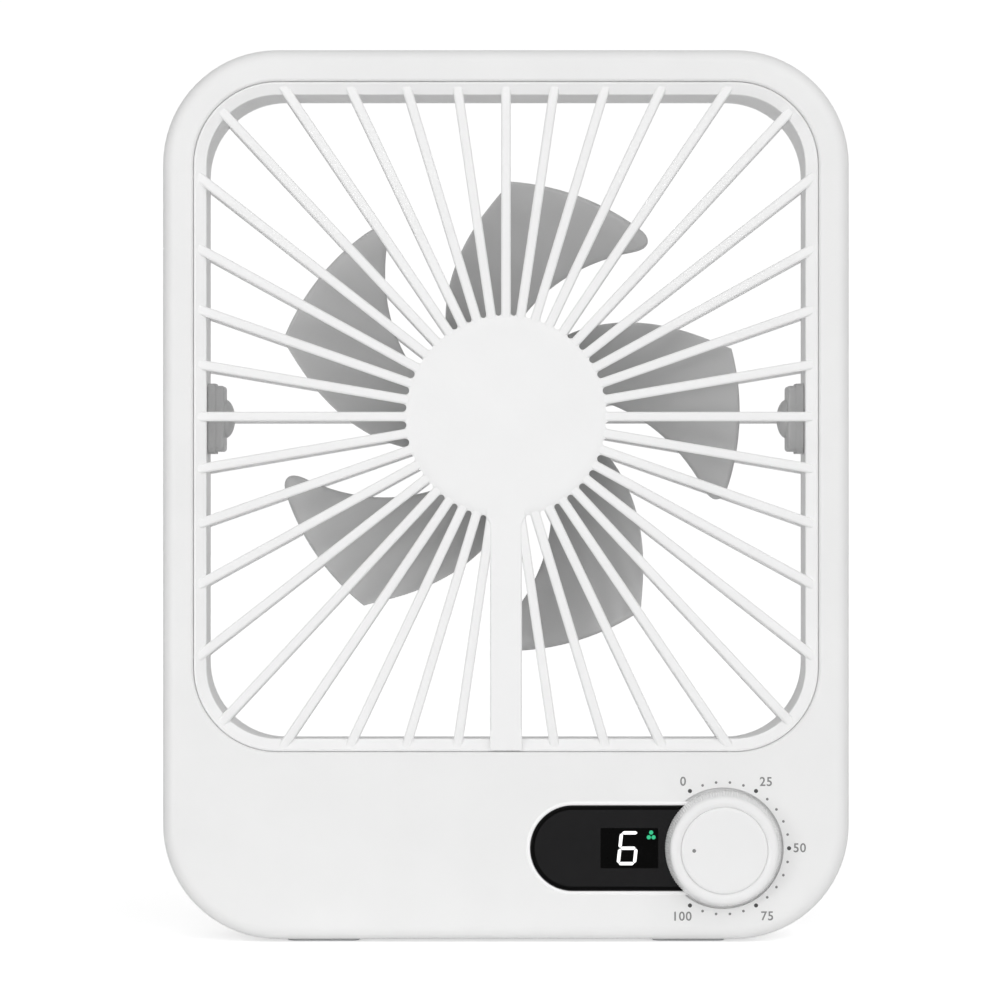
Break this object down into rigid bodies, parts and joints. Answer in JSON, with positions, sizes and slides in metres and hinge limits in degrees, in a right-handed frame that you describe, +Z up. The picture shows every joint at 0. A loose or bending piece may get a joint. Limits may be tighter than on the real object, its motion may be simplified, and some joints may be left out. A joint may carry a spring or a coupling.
{
  "type": "box fan",
  "caption": "Small flat battery box fan: square grille window, centre-mounted motor, speed knob, number display and a fold-out U stand.",
  "frame": {"origin": "bottom centre of the bounding box, on the plane under the feet", "axes": "+Z up, -Y out of the front face, +X to the right seen from the front"},
  "size_m": [0.15, 0.0426, 0.195],
  "materials": {
    "case_white": "satin",
    "grille_white": "satin",
    "blade_white": "satin",
    "knob_white": "satin",
    "lens_black": "gloss",
    "dark_plastic": "matte",
    "rubber_grey": "matte",
    "board_green": "satin",
    "battery_foil": "satin",
    "cable_red": "satin",
    "steel": "satin",
    "brass": "satin",
    "copper": "satin",
    "magnet": "matte",
    "clear_light": "gloss"
  },
  "bodies": {
    "case": {"front_housing": "case_white", "rear_housing": "case_white", "front_grille": "grille_white", "rear_grille": "grille_white", "cable_cover": "grille_white", "display_lens": "lens_black", "display_module": "dark_plastic", "main_board": "board_green", "speed_pot": "steel", "battery_pack": "battery_foil", "battery_cable": "cable_red", "motor_cable": "dark_plastic", "usb_shell": "steel", "usb_tongue": "dark_plastic", "charge_light": "clear_light", "housing_screw_1": "steel", "housing_screw_2": "steel", "housing_screw_3": "steel", "cover_screw_1": "steel", "cover_screw_2": "steel", "board_screw_1": "steel", "board_screw_2": "steel", "board_screw_3": "steel", "motor_screw_1": "steel", "motor_screw_2": "steel", "foot_front_left": "rubber_grey", "foot_front_right": "rubber_grey", "foot_rear_left": "rubber_grey", "foot_rear_right": "rubber_grey", "motor_board": "board_green", "bearing_tube": "brass", "bearing_front": "steel", "bearing_rear": "steel", "stator_core": "steel", "coil_1": "copper", "coil_2": "copper", "coil_3": "copper", "coil_4": "copper", "hinge_bracket_left": "grille_white", "hinge_bracket_right": "grille_white", "hinge_cap_left": "grille_white", "hinge_cap_right": "grille_white"},
    "rotor": {"impeller": "blade_white", "rotor_yoke": "steel", "magnet_ring": "magnet", "motor_shaft": "steel", "retaining_clip": "steel"},
    "knob": {"knob_skirt": "knob_white", "knob_cap": "knob_white", "knob_shaft": "steel"},
    "stand": {"stand_frame": "case_white", "hinge_pin_left": "steel", "hinge_pin_right": "steel", "friction_washer_left": "dark_plastic", "friction_washer_right": "dark_plastic", "stand_pad_left": "rubber_grey", "stand_pad_right": "rubber_grey"}
  },
  "joints": [
    {"name": "fan_spin", "type": "hinge", "parent": "case", "child": "rotor", "pos_m": [0, 0, 0.1148], "axis": [0, 1, 0], "continuous": true},
    {"name": "knob_turn", "type": "hinge", "parent": "case", "child": "knob", "pos_m": [0.0473, -0.018, 0.0207], "axis": [0, 1, 0], "range_deg": [0, 300]},
    {"name": "stand_swing", "type": "hinge", "parent": "case", "child": "stand", "pos_m": [0, 0.01125, 0.1148], "axis": [1, 0, 0], "range_deg": [0, 180]}
  ]
}
